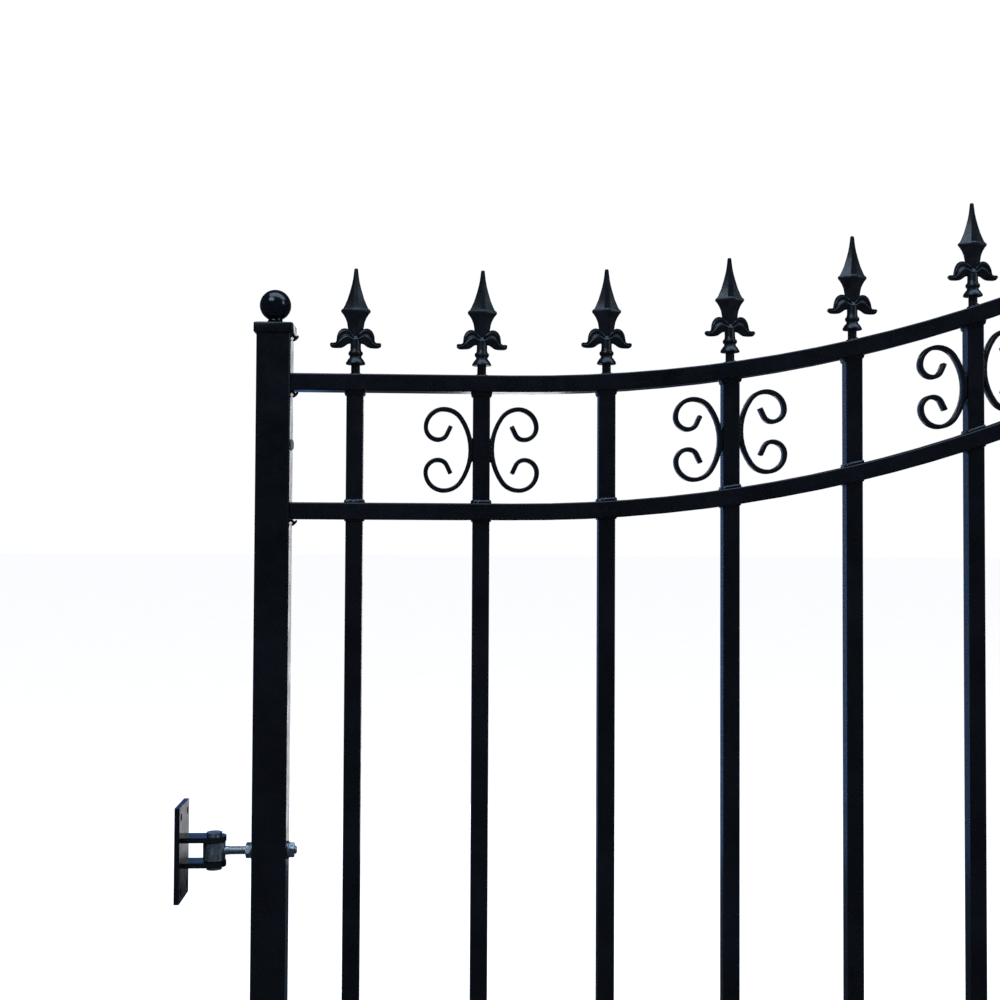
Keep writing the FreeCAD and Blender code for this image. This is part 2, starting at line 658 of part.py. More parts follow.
    # A vent hole in the hinge stile's inner wall, closed by a plug with a low head.
    vent_z = "(dims.top_rail_z - dims.vent_drop)"
    vent_start = f"({HINGE_INNER} - 2 * dims.stile_wall)"
    vent_run = ("2 * dims.stile_wall", vent_start, "0", vent_z, ALONG_X)
    vent_hole = cylinder(tag + "vent_hole", "dims.vent_diameter", *vent_run)
    vent_stem = cylinder(tag + "vent_stem", "dims.vent_diameter", *vent_run)
    vent_head = cylinder(tag + "vent_head", "dims.vent_plug", "dims.vent_plug_stand",
                         HINGE_INNER, "0", vent_z, ALONG_X)
    vent_plug = fuse(tag + "vent_plug", vent_stem, vent_head)

    # The left meeting stile is bored through for the latch's round guide. The right one has a
    # square hole for the keeper, only in the wall that faces the other leaf.
    if side == "left":
        latch_hole = cylinder(tag + "guide_hole", "dims.guide_diameter", "dims.stile_width",
                              MEETING_INNER, "0", "dims.latch_z", ALONG_X)
    else:
        wall = "(2 * dims.stile_wall)"
        socket = "(dims.latch_diameter + 2 * dims.keeper_clearance + 2 * dims.keeper_wall)"
        latch_hole = keeper_bar(tag + "keeper_hole", socket, wall, f"{MEETING_FACE} - {wall}")
    holes = {"hinge": bolt_holes + [vent_hole], "meeting": [latch_hole]}
    caps, balls, plugs = [], [], [vent_plug]
    for end, x in stile_x.items():
        blank = tube(tag + end + "_stile", "dims.stile_width", "dims.stile_width",
                     "dims.stile_wall", "dims.stile_corner",
                     f"{STILE_TOP[end]} - dims.stile_bottom", x, "dims.stile_bottom")
        nodes[f"{end}_stile"] = cut(f"{side}_{end}_stile", blank, screws, *holes[end])
        cap = stile_cap(tag + end + "_cap", x, STILE_TOP[end])
        caps.append(cut(tag + end + "_cap_drilled", cap, screws))
        balls.append(stile_ball(tag + end + "_ball", x, f"{STILE_TOP[end]} + dims.cap_height"))
        plugs.append(foot_plug(tag + end + "_plug", x))
    nodes["stile_caps"] = group(f"{side}_stile_caps", *caps)
    nodes["cap_balls"] = group(f"{side}_cap_balls", *balls)
    nodes["tube_plugs"] = group(f"{side}_tube_plugs", *plugs)

    nodes["finials"] = leaf_finials(f"{side}_finials", under_rail)
    nodes["scrolls"] = leaf_scrolls(f"{side}_scrolls")
    for item in nodes.values():
        item.Placement = Placement(ORIGIN, Rotation(Z_AXIS, LEAF_TURN[side]))
    return list(nodes.values())


# ---------------------------------------------------------------- hinges on the posts


def post_hinge(tag, z):
    """Post plate with two ears, and the pin with its collar that the ears hold."""
    plate_x = f"({PIN_X} - dims.plate_offset - dims.plate_thickness)"
    plate = box(tag + "_plate", "dims.plate_thickness", "dims.plate_width", "dims.plate_height",
                plate_x, "-dims.plate_width / 2", f"{z} - dims.plate_height / 2")
    ear_gap = "(dims.eye_height / 2 + dims.face_gap)"
    ear_z = {"top": f"({z} + {ear_gap})", "low": f"({z} - {ear_gap} - dims.ear_thickness)"}
    ears = []
    for place, at in ear_z.items():
        ears.append(box(tag + f"_{place}_ear", "dims.plate_offset", "dims.ear_width",
                        "dims.ear_thickness", f"{PIN_X} - dims.plate_offset",
                        "-dims.ear_width / 2", at))
        ears.append(cylinder(tag + f"_{place}_ear_end", "dims.ear_width", "dims.ear_thickness",
                             PIN_X, "0", at))
    overall = f"(2 * {ear_gap} + 2 * dims.ear_thickness)"
    holes = [cylinder(tag + "_pin_hole", "dims.pin_diameter", overall, PIN_X, "0", ear_z["low"])]
    for column, row in ((-1, -1), (-1, 1), (1, -1), (1, 1)):
        holes.append(cylinder(tag + f"_hole_{column + 1}{row + 1}", "dims.mount_hole",
                              "dims.plate_thickness", plate_x,
                              f"{column} * dims.mount_pitch_y / 2",
                              f"{z} + {row} * dims.mount_pitch_z / 2", ALONG_X))
    bracket = cut(tag + "_bracket", fuse(tag + "_welded", plate, *ears), *holes)
    # The pin hangs by its head on the upper ear; a collar is pressed on under the lower one.
    ear_top = f"({ear_z['top']} + dims.ear_thickness)"
    head = cylinder(tag + "_pin_head", "dims.pin_head", "dims.pin_head_height",
                    PIN_X, "0", ear_top)
    shank = cylinder(tag + "_pin_shank", "dims.pin_diameter",
                     f"{overall} + dims.pin_collar_height", PIN_X, "0",
                     f"{ear_z['low']} - dims.pin_collar_height")
    collar = cylinder(tag + "_pin_collar", "dims.pin_head", "dims.pin_collar_height",
                      PIN_X, "0", f"{ear_z['low']} - dims.pin_collar_height")
    return bracket, fuse(tag + "_pin", head, shank, collar)


def build_post_side(side):
    brackets, pins = [], []
    for label, z in HINGE_LEVELS:
        bracket, pin = post_hinge(f"{side}_{label}", z)
        brackets.append(bracket)
        pins.append(pin)
    nodes = [group(f"{side}_post_plates", *brackets), group(f"{side}_hinge_pins", *pins)]
    for item in nodes:
        item.Placement = Placement(ORIGIN, Rotation(Z_AXIS, LEAF_TURN[side]))
    return nodes


# ---------------------------------------------------------------- latch and drop rod


def keeper_bar(name, width, length, x):
    """Square bar along X, centred on the latch's axis."""
    return box(name, length, width, width, x, f"-{width} / 2", f"dims.latch_z - {width} / 2")


def build_latch():
    """Bolt that slides through the left meeting stile into a keeper in the right one."""
    z = "dims.latch_z"
    guide_end = f"({MEETING_INNER} - dims.flange_thickness)"
    guide_front = f"({MEETING_FACE} + dims.guide_beyond)"
    guide = fuse(
        "latch_guide_body",
        cylinder("latch_guide_tube", "dims.guide_diameter", f"{guide_front} - {guide_end}",
                 guide_end, "0", z, ALONG_X),
        cylinder("latch_guide_flange", "dims.flange_diameter", "dims.flange_thickness",
                 guide_end, "0", z, ALONG_X),
    )
    bore = cylinder("latch_guide_bore", "dims.latch_diameter + 2 * dims.latch_clearance",
                    f"{guide_front} - {guide_end}", guide_end, "0", z, ALONG_X)
    handle_x = (f"({guide_end} - dims.handle_run_out - dims.handle_diameter / 2"
                " - dims.latch_travel)")
    tail = f"({handle_x} - dims.latch_tail)"
    front = f"({guide_front} - dims.latch_recess)"
    blank = cylinder("latch_bolt_blank", "dims.latch_diameter", f"{front} - {tail}",
                     tail, "0", z, ALONG_X)
    grip = cylinder("latch_grip", "dims.handle_diameter",
                    "2 * dims.handle_reach - dims.knob_diameter", handle_x,
                    "dims.knob_diameter / 2 - dims.handle_reach", z, ALONG_Y)
    knobs = []
    for label, way in (("front", "-1"), ("back", "1")):
        knob = doc.addObject("Part::Sphere", f"latch_{label}_knob")
        bind(knob, Radius="dims.knob_diameter / 2")
        y = f"{way} * (dims.handle_reach - dims.knob_diameter / 2)"
        knobs.append(put(knob, handle_x, y, z))
    # The keeper is a square socket in the right meeting stile, with a lip on the stile's face.
    keeper_face = "(dims.centre_gap / 2 - dims.keeper_lip)"
    socket = "(dims.latch_diameter + 2 * dims.keeper_clearance)"
    sleeve_width = f"({socket} + 2 * dims.keeper_wall)"
    sleeve = keeper_bar("latch_keeper_sleeve", sleeve_width, "dims.keeper_length", keeper_face)
    lip = keeper_bar("latch_keeper_lip", "dims.flange_diameter", "dims.keeper_lip", keeper_face)
    mouth = keeper_bar("latch_keeper_mouth", socket, "dims.keeper_length", keeper_face)
    return [
        cut("latch_guide", guide, bore),
        cut("latch_bolt", blank, grip),
        fuse("latch_handle", grip, *knobs),
        cut("latch_keeper", fuse("latch_keeper_body", sleeve, lip), mouth),
    ]


def build_drop_rod():
    """Rod that drops to the ground behind the right meeting stile, in two guides."""
    x = "((dims.centre_gap + dims.stile_width) / 2)"
    y = "(dims.stile_width / 2 + dims.rod_stand)"
    point = doc.addObject("Part::Cone", "drop_rod_point")
    bind(point, Radius1="dims.rod_diameter / 4", Radius2="dims.rod_diameter / 2",
         Height="dims.rod_point")
    put(point, x, y, "0")
    shank = cylinder("drop_rod_shank", "dims.rod_diameter", "dims.rod_top - dims.rod_point",
                     x, y, "dims.rod_point")
    elbow = doc.addObject("Part::Sphere", "drop_rod_elbow")
    bind(elbow, Radius="dims.rod_diameter / 2")
    put(elbow, x, y, "dims.rod_top")
    handle = cylinder("drop_rod_handle", "dims.rod_diameter", "dims.rod_handle",
                      x, y, "dims.rod_top", ALONG_X)
    collar = cylinder("drop_rod_collar", "dims.rod_collar", "dims.rod_collar_height", x, y,
                      "dims.rod_guide_high + dims.rod_guide_height + dims.face_gap")
    guides = []
    for label, z in (("low", "dims.rod_guide_low"), ("high", "dims.rod_guide_high")):
        block = box(f"drop_rod_{label}_block", "dims.rod_guide_width", "dims.rod_guide_depth",
                    "dims.rod_guide_height", f"{x} - dims.rod_guide_width / 2",
                    "dims.stile_width / 2", z)
        bore = cylinder(f"drop_rod_{label}_bore", "dims.rod_diameter + 2 * dims.rod_clearance",
                        "dims.rod_guide_height", x, y, z)
        guides.append(cut(f"drop_rod_{label}_guide", block, bore))
    return [
        fuse("drop_rod", point, shank, elbow, handle, collar),
        group("drop_rod_guides", *guides),
    ]


# ---------------------------------------------------------------- build, check and write

pieces = []
for leaf_side in LEAF_TURN:
    pieces += build_leaf(leaf_side)
    pieces += build_post_side(leaf_side)
pieces += build_latch()
pieces += build_drop_rod()
doc.recompute()

faults = [item.Label for item in doc.Objects if {"Invalid", "Error"} & set(item.State)]
for piece in pieces:
    if piece.Shape.isNull() or not piece.Shape.isValid() or not piece.Shape.Solids:
        faults.append(piece.Label)
if faults:
    raise SystemExit(f"not built: {sorted(set(faults))}")

os.makedirs("parts", exist_ok=True)
for piece in pieces:
    piece.Shape.exportStep(f"parts/{piece.Label}.step")
print(f"{len(pieces)} pieces written")
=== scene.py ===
"""Looks of a double garden gate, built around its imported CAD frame. Places are in metres, and a
shape is drawn in millimetres before it is placed. The right leaf is the left one turned half
round."""

import math
import random

import bmesh
import bpy
from mathutils import Matrix, Vector


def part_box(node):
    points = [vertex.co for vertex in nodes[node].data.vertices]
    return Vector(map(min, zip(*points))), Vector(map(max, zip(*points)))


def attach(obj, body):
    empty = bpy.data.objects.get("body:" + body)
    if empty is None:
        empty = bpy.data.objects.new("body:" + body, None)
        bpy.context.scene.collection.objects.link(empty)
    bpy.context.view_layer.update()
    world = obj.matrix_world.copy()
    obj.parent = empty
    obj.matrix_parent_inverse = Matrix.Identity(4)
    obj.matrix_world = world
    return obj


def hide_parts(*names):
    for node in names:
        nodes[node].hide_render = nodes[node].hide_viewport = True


MM = 0.001
UP = Vector((0, 0, 1))
DOWN = Vector((0, 0, -1))
HALF_TURN = Matrix.Rotation(math.pi, 4, "Z")
SIDES = {"left": Matrix.Identity(4), "right": HALF_TURN}

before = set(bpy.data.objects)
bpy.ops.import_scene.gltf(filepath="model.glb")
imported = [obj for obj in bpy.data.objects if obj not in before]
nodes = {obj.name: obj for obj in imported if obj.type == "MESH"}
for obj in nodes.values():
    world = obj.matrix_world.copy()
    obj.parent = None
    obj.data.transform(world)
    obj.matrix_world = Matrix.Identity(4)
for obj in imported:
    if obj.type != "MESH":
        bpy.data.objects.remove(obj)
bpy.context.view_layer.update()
rng = random.Random(11)


# ---------------------------------------------------------------- camera


def make_camera():
    """A camera near the left leaf's hinge end, at two thirds of the gate's height."""
    yaw, pitch, roll = 0.0541, 0.0274, 0.005
    eye = (-1.5331, -1.567, 1.1894)
    forward = Vector((math.sin(yaw) * math.cos(pitch), math.cos(yaw) * math.cos(pitch),
                      math.sin(pitch)))
    right = Vector((math.cos(yaw), -math.sin(yaw), 0))
    above = right.cross(forward)
    across = right * math.cos(roll) + above * math.sin(roll)
    upright = above * math.cos(roll) - right * math.sin(roll)
    data = bpy.data.cameras.new("camera")
    data.sensor_width = 36
    data.lens = 47.39
    camera = bpy.data.objects.new("camera", data)
    facing = Matrix((across, upright, -forward)).transposed().to_4x4()
    camera.matrix_world = Matrix.Translation(eye) @ facing
    bpy.context.scene.collection.objects.link(camera)
    bpy.context.scene.camera = camera


make_camera()


# ---------------------------------------------------------------- materials


class Finish:
    """A material whose patterns are laid out in the row frame, in metres."""

    def __init__(self, name, **values):
        self.material = bpy.data.materials.new(name)
        self.material.use_nodes = True
        self.tree = self.material.node_tree
        self.shader = self.tree.nodes["Principled BSDF"]
        self.position = self.tree.nodes.new("ShaderNodeTexCoord").outputs["Object"]
        for socket, value in values.items():
            self.shader.inputs[socket.replace("_", " ")].default_value = value

    def feed(self, socket, output):
        self.tree.links.new(output, self.shader.inputs[socket])

    def noise(self, scale, detail=2.0, roughness=0.5, stretch=None):
        """Noise with `scale` features to the metre."""
        node = self.tree.nodes.new("ShaderNodeTexNoise")
        node.inputs["Scale"].default_value = scale
        node.inputs["Detail"].default_value = detail
        node.inputs["Roughness"].default_value = roughness
        source = self.position
        if stretch:
            mapping = self.tree.nodes.new("ShaderNodeMapping")
            mapping.inputs["Scale"].default_value = stretch
            self.tree.links.new(source, mapping.inputs["Vector"])
            source = mapping.outputs["Vector"]
        self.tree.links.new(source, node.inputs["Vector"])
        return node.outputs["Fac"]

    def cells(self, scale):
        """A random grey for each cell of a pattern with `scale` cells to the metre."""
        node = self.tree.nodes.new("ShaderNodeTexVoronoi")
        node.inputs["Scale"].default_value = scale
        self.tree.links.new(self.position, node.inputs["Vector"])
        split = self.tree.nodes.new("ShaderNodeSeparateColor")
        self.tree.links.new(node.outputs["Color"], split.inputs["Color"])
        return split.outputs["Red"]

    def span(self, output, low, high, start=0.3, end=0.7):
        """`output` stretched from start..end to low..high."""
        node = self.tree.nodes.new("ShaderNodeMapRange")
        node.inputs["From Min"].default_value = start
        node.inputs["From Max"].default_value = end
        node.inputs["To Min"].default_value = low
        node.inputs["To Max"].default_value = high
        self.tree.links.new(output, node.inputs["Value"])
        return node.outputs["Result"]

    def blend(self, output, first, second):
        """A colour between two colours, or between an output's colour and a colour."""
        node = self.tree.nodes.new("ShaderNodeMix")
        node.data_type = "RGBA"
        self.tree.links.new(output, node.inputs["Factor"])
        for socket, colour in ((node.inputs[6], first), (node.inputs[7], second)):
            if isinstance(colour, bpy.types.NodeSocket):
                self.tree.links.new(colour, socket)
            else:
                socket.default_value = (*colour, 1)
        return node.outputs[2]

    def relief(self, *layers):
        """Bump in layers of (output, depth in metres, strength)."""
        normal = None
        for output, depth, strength in layers:
            bump = self.tree.nodes.new("ShaderNodeBump")
            bump.inputs["Distance"].default_value = depth
            bump.inputs["Strength"].default_value = strength
            self.tree.links.new(output, bump.inputs["Height"])
            if normal:
                self.tree.links.new(normal, bump.inputs["Normal"])
            normal = bump.outputs["Normal"]
        self.feed("Normal", normal)


def powder_coat(name, gloss, peel, wave=0.12):
    """Black powder coat: near black with a blue cast, orange peel and a soft unevenness."""
    coat = Finish(name, Specular_IOR_Level=0.3, Coat_Weight=0.2, Coat_Roughness=0.12)
    cloud = coat.noise(14, detail=3)
    fleck = coat.noise(1900, detail=1)
    tone = coat.blend(coat.span(cloud, 0, 1), (0.0006, 0.0009, 0.0016), (0.0016, 0.0022, 0.0041))
    coat.feed("Base Color", coat.blend(coat.span(fleck, 0, 1, 0.66, 0.74), tone,
                                       (0.012, 0.014, 0.020)))
    coat.feed("Roughness", coat.span(coat.noise(55, detail=4), gloss, gloss + 0.14))
    coat.relief((coat.noise(42, detail=1), 0.0012, wave), (coat.noise(620, detail=1), 0.0003, peel))
    return coat.material


def cast_coat(name):
    """Powder coat over a sand casting: grainier, with a cloudy tone that is painted shade in the
    hollows of its relief and a painted highlight on its rises.
    """
    cast = Finish(name, Specular_IOR_Level=0.28, Coat_Weight=0.12, Coat_Roughness=0.14)
    grain = cast.noise(520, detail=5, roughness=0.65)
    cloud = cast.noise(60, detail=3)
    # One cloud drives both colour and relief: painted shade darkens its hollows, and a painted
    # highlight lightens its rises.
    cast.feed("Base Color", cast.blend(cast.span(cloud, 0, 1), (0.0010, 0.0014, 0.0023),
                                       (0.0036, 0.0050, 0.0078)))
    cast.feed("Roughness", cast.span(grain, 0.22, 0.44))
    cast.relief((cloud, 0.0010, 0.35), (grain, 0.0005, 0.45))
    return cast.material


def zinc_plate(name, tint, gloss):
    """Zinc plating: cloudy grey metal with fine spangle and faint rubbed streaks."""
    zinc = Finish(name, Metallic=1.0)
    spangle = zinc.cells(420)
    cloud = zinc.noise(130, detail=4)
    dull = tuple(channel * 0.62 for channel in tint)
    tone = zinc.blend(zinc.span(spangle, 0, 1, 0, 1), dull, tint)
    soot = tuple(channel * 0.30 for channel in tint)
    zinc.feed("Base Color", zinc.blend(zinc.span(cloud, 0, 0.55, 0.52, 0.75), tone, soot))
    streak = zinc.noise(300, detail=3, stretch=(1, 1, 0.15))
    zinc.feed("Roughness", zinc.span(streak, gloss, gloss + 0.22))
    zinc.relief((spangle, 0.0001, 0.2), (streak, 0.0002, 0.3))
    return zinc.material


def moulded_plastic(name, tone):
    """Dark grey plastic with a fine moulded grain, lighter in soft patches."""
    plastic = Finish(name, Specular_IOR_Level=0.4)
    grain = plastic.noise(900, detail=3)
    cloud = plastic.noise(40)
    plastic.feed("Base Color", plastic.blend(plastic.span(cloud, 0, 1), (tone, tone, tone * 1.05),
                                             (tone * 1.5, tone * 1.5, tone * 1.6)))
    plastic.feed("Roughness", plastic.span(grain, 0.42, 0.60))
    plastic.relief((grain, 0.0002, 0.4))
    return plastic.material


MATERIALS = {
    "frame_black": powder_coat("frame_black_coat", 0.20, 0.10),
    "cast_black": cast_coat("cast_black_coat"),
    "scroll_black": powder_coat("scroll_black_coat", 0.26, 0.16, 0.6),
    "cap_black": powder_coat("cap_black_coat", 0.16, 0.08, 0.25),
    "ball_black": powder_coat("ball_black_coat", 0.10, 0.05, 0.15),
    "hinge_black": powder_coat("hinge_black_coat", 0.28, 0.20, 0.5),
    "rod_black": powder_coat("rod_black_coat", 0.24, 0.14, 0.4),
    "zinc_steel": zinc_plate("zinc_steel_plate", (0.60, 0.62, 0.64), 0.30),
    "screw_black": powder_coat("screw_black_coat", 0.22, 0.10, 0.2),
    "plug_plastic": moulded_plastic("plug_plastic_moulding", 0.085),
}


# ---------------------------------------------------------------- mesh helpers


def at(x, y, z, turn=None):
    """Matrix that puts a shape drawn in millimetres at a point given in metres."""
    return Matrix.Translation((x, y, z)) @ (turn or Matrix.Identity(4)) @ Matrix.Scale(MM, 4)


def skin(bm, rings, loop=False):
    """Quads between rings of points; the two ends are closed, or joined to each other."""
    made = [[bm.verts.new(point) for point in ring] for ring in rings]
    pairs = list(zip(made, made[1:]))
    if loop:
        pairs.append((made[-1], made[0]))
    for first, second in pairs:
        for i in range(len(first)):
            j = (i + 1) % len(first)
            bm.faces.new((first[i], first[j], second[j], second[i]))
    if not loop:
        bm.faces.new(made[0][::-1])
        bm.faces.new(made[-1])


def circle(radius, z, segments, spin=0.0):
    return [
        Vector((radius * math.cos(spin + a), radius * math.sin(spin + a), z))
        for a in (2 * math.pi * i / segments for i in range(segments))
    ]


def lathe(bm, profile, place, segments=40):
    """Solid of revolution about the placed Z axis, from (radius, height) pairs."""
    skin(bm, [[place @ p for p in circle(radius, z, segments)] for radius, z in profile])


def rounded_square(half, corner, z, steps=5):
    """Outline of a square with round corners at height z."""
    points = []
    for quarter in range(4):
        middle = math.pi / 2 * (quarter + 0.5)
        centre = Vector((math.cos(middle), math.sin(middle), 0)) * (half - corner) * math.sqrt(2)
        for step in range(steps + 1):
            angle = math.pi / 2 * (quarter + step / steps)
            points.append(centre + Vector((math.cos(angle), math.sin(angle), 0)) * corner + UP * z)
    return points


def smooth_line(points, count):
    """`count` points evenly spaced in parameter on a Catmull-Rom line through `points`."""
    line = [Vector(p) for p in points]
    line = [line[0] * 2 - line[1]] + line + [line[-1] * 2 - line[-2]]
    out = []
    for i in range(count):
        place = i / (count - 1) * (len(line) - 3)
        k = min(int(place), len(line) - 4)
        t = place - k
        a, b, c, d = line[k:k + 4]
        out.append(0.5 * (2 * b + (c - a) * t + (2 * a - 5 * b + 4 * c - d) * t * t
                          + (3 * b - 3 * c + d - a) * t ** 3))
    return out


def edge_angle(edge):
    return edge.calc_face_angle(0) if len(edge.link_faces) == 2 else 0


def soften(bm, width, limit=28, segments=1):
    """Small bevel along every edge sharper than `limit` degrees."""
    sharp = [e for e in bm.edges if edge_angle(e) > math.radians(limit)]
    bmesh.ops.bevel(bm, geom=sharp, offset=width, segments=segments, affect="EDGES",
                    profile=0.6, clamp_overlap=True)


def to_mesh(name, bm):
    """Mesh made of a finished bmesh, which is freed."""
    mesh = bpy.data.meshes.new(name)
    bm.to_mesh(mesh)
    bm.free()
    return mesh


def stamp(bm, master, place):
    """Add a placed copy of a master mesh."""
    copy = master.copy()
    copy.transform(place)
    bm.from_mesh(copy)
    bpy.data.meshes.remove(copy)


def finish_mesh(name, bm, slot, limit=32):
    """Mesh of a finished piece: smooth, with creases at edges sharper than `limit` degrees."""
    bmesh.ops.recalc_face_normals(bm, faces=bm.faces)
    for face in bm.faces:
        face.smooth = True
    for edge in bm.edges:
        edge.smooth = edge_angle(edge) < math.radians(limit)
    mesh = to_mesh(name, bm)
    mesh.materials.append(MATERIALS[slot])
    return mesh


def add_piece(name, mesh, body, slot, *replaced):
    piece = bpy.data.objects.new(name, mesh)
    bpy.context.scene.collection.objects.link(piece)
    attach(piece, body)
    if replaced:
        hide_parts(*replaced)


def on_both_leaves(part, bm, slot, replaced=None, limit=32):
    """The piece on the left leaf, and the same piece turned half round on the right one."""
    mesh = finish_mesh(part, bm, slot, limit)
    for side, turn in SIDES.items():
        copy = mesh.copy()
        copy.transform(turn)
        nodes_for = [f"{side}_{replaced}"] if replaced else []
        add_piece(f"{side}_{part}", copy, f"{side}_leaf", slot, *nodes_for)
    bpy.data.meshes.remove(mesh)


# ---------------------------------------------------------------- places on the left leaf


def surface_z(node, x, y, way):
    """Height of a node's outer face at (x, y), met by a ray that travels `way` from outside."""
    low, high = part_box(node)
    start = Vector((x, y, (low if way.z > 0 else high).z - way.z))
    hit, point, _, _ = nodes[node].ray_cast(start, way)
    return point.z if hit else None


PICKET_NAMES = [f"picket_{i:02d}" for i in range(1, 12)]
PICKETS = [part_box(f"left_{name}") for name in PICKET_NAMES]
PICKET_X = [(low.x + high.x) / 2 for low, high in PICKETS]
PICKET_HALF = (PICKETS[0][1].x - PICKETS[0][0].x) / 2
HINGE_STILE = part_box("left_hinge_stile")
MEETING_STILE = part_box("left_meeting_stile")
STILES = (HINGE_STILE, MEETING_STILE)
STILE_X = [(low.x + high.x) / 2 for low, high in STILES]
# The washers are the widest part of the nuts' box, so their radius is its reach in Y, and the
# hinges' middles lie that far in from its lower and upper ends.
NUTS_LOW, NUTS_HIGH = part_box("left_hinge_nuts")
HINGE_Z = [NUTS_LOW.z + NUTS_HIGH.y, NUTS_HIGH.z - NUTS_HIGH.y]


# ---------------------------------------------------------------- finials

# Turned stem, collar and ring, as radius and height over the rail.
STEM = [
    (5.4, -5), (5.3, 11.4), (5.5, 12.1), (11.0, 12.3), (11.6, 12.8), (11.6, 13.9), (11.0, 15.2),
    (9.8, 17.0), (8.9, 18.6), (7.7, 19.6), (7.0, 20.8), (7.0, 22.2), (7.5, 23.0), (8.3, 23.6),
    (8.6, 24.6), (8.6, 26.2), (8.2, 27.3), (7.1, 28.0), (6.6, 29.2), (6.3, 32), (6.3, 37),
    (6.0, 42), (3.5, 46),
]
# Spear: height, half width, half depth, half width of the narrow front face.
SPEAR = [
    (43, 5.6, 2.6, 2.0), (49, 7.6, 3.4, 2.4), (54, 9.2, 4.6, 3.0), (58.2, 9.7, 5.4, 3.4),
    (63, 10.6, 6.0, 3.6), (68, 12.6, 6.6, 3.8), (72, 15.0, 7.4, 4.0), (74.6, 17.2, 8.3, 4.4),
    (76.0, 17.6, 8.6, 4.4), (77.6, 17.0, 8.2, 4.3), (79.0, 15.0, 6.9, 3.9), (82, 13.4, 6.3, 3.6),
    (90, 10.0, 5.5, 3.0), (100.3, 6.9, 4.3, 2.2), (108, 4.9, 3.5, 1.6), (114, 3.7, 2.9, 1.3),
    (121, 2.8, 2.4, 1.0), (126.0, 2.3, 2.0, 0.9), (127.0, 1.5, 1.3, 0.6),
]
# Outer and inner outline of a leaf, from its root on the stem to its flicked tip.
LEAF_OUTER = [
    (0.3, 43.0), (2.2, 46.6), (4.8, 50.8), (8.0, 53.9), (12.0, 55.4), (16.2, 54.8), (19.8, 51.8),
    (22.0, 47.2), (22.6, 42.6), (23.0, 39.6), (25.2, 38.3), (28.4, 38.4), (30.2, 37.4),
]
LEAF_INNER = [
    (0.3, 37.8), (2.6, 37.4), (5.0, 37.2), (7.5, 37.1), (9.8, 36.2), (12.0, 34.6), (14.4, 33.0),
    (17.2, 32.1), (20.4, 31.8), (24.0, 31.7), (27.3, 32.0), (29.2, 33.0), (30.2, 34.2),
]
# Relief across a leaf: share of its width from the outer outline, and half thickness.
LEAF_RELIEF = [
    (0.0, 0.9), (0.04, 2.5), (0.11, 4.2), (0.19, 4.6), (0.27, 3.5), (0.35, 3.1), (0.43, 4.0),
    (0.51, 5.7), (0.57, 6.1), (0.64, 5.4), (0.74, 3.8), (0.86, 2.9), (0.95, 2.3), (1.0, 1.0),
]


def add_leaf(bm, place, hand):
    """One flicked leaf of a finial, with a raised rim and a raised rib along it."""
    count = 27
    outer = smooth_line([(x, 0, z) for x, z in LEAF_OUTER], count)
    inner = smooth_line([(x, 0, z) for x, z in LEAF_INNER], count)
    rings = []
    for i in range(count):
        along = i / (count - 1)
        # Thickest at the root, and thinner over the last stretch to the tip.
        swell = 1.12 - 0.12 * min(1, along * 3) - 0.30 * max(0, along - 0.7) / 0.3
        front, back = [], []
        for share, thick in LEAF_RELIEF:
            point = outer[i].lerp(inner[i], share)
            front.append(place @ Vector((hand * point.x, -thick * swell, point.z)))
            back.append(place @ Vector((hand * point.x, thick * swell, point.z)))
        rings.append(front + back[::-1])
    skin(bm, rings)


def add_spear(bm, place):
    """Eight-sided spear point with a narrow flat face at the front and at the back."""
    rings = []
    for z, half, depth, flat in SPEAR:
        edge = 0.35 + 0.07 * half
        outline = [
            (half, -edge), (flat, -depth), (-flat, -depth), (-half, -edge),
            (-half, edge), (-flat, depth), (flat, depth), (half, edge),
        ]
        rings.append([place @ Vector((x, y, z)) for x, y in outline])
    skin(bm, rings)


def make_finials():
    bm = bmesh.new()
    master = bmesh.new()
    add_spear(master, Matrix.Identity(4))
    soften(master, 0.35, limit=20, segments=2)
    lathe(master, STEM, Matrix.Identity(4), 28)
    for hand in (-1, 1):
        add_leaf(master, Matrix.Identity(4), hand)
    mesh = to_mesh("finial_master", master)
    for x in PICKET_X:
        # No two castings sit quite alike on the rail.
        lean = Matrix.Rotation(math.radians(rng.uniform(-0.5, 0.5)), 4, "Y")
        twist = Matrix.Rotation(math.radians(rng.uniform(-2.0, 2.0)), 4, "Z")
        stamp(bm, mesh, at(x, 0, surface_z("left_top_rail", x, 0, DOWN), lean @ twist))
    bpy.data.meshes.remove(mesh)
    on_both_leaves("finial_castings", bm, "cast_black", "finials", limit=26)


make_finials()


# ---------------------------------------------------------------- scrolls

# The flat bar: its thickness, its width from front to back and the radius of its corners.
BAR = 5.2
BAR_DEPTH = 12.0
BAR_CORNER = 1.3
# Arcs of the upper half of a scroll, from its back on the picket to its nipped free end.
BACK_RADIUS = 66.8
SHOULDER_RADIUS = 24.4
TOP_RADIUS = 21.6
CURL_RADIUS = 14.8
LEAN = math.radians(34.6)
NIP_RADIUS = 11.0
NIP_START = math.radians(95)
NIP_END = math.radians(155)
FREE_END = 11.0
# A scroll hangs by the rail's top at this reach from its picket: its middle lies this far below.
SCROLL_REACH = 31.6 * MM
SCROLL_MIDDLE = 88.4 * MM


def scroll_z(x, hand):
    """Height of the middle of the scroll on the `hand` side of the picket at x."""
    return surface_z("left_top_rail", x + hand * SCROLL_REACH, 0, DOWN) - SCROLL_MIDDLE


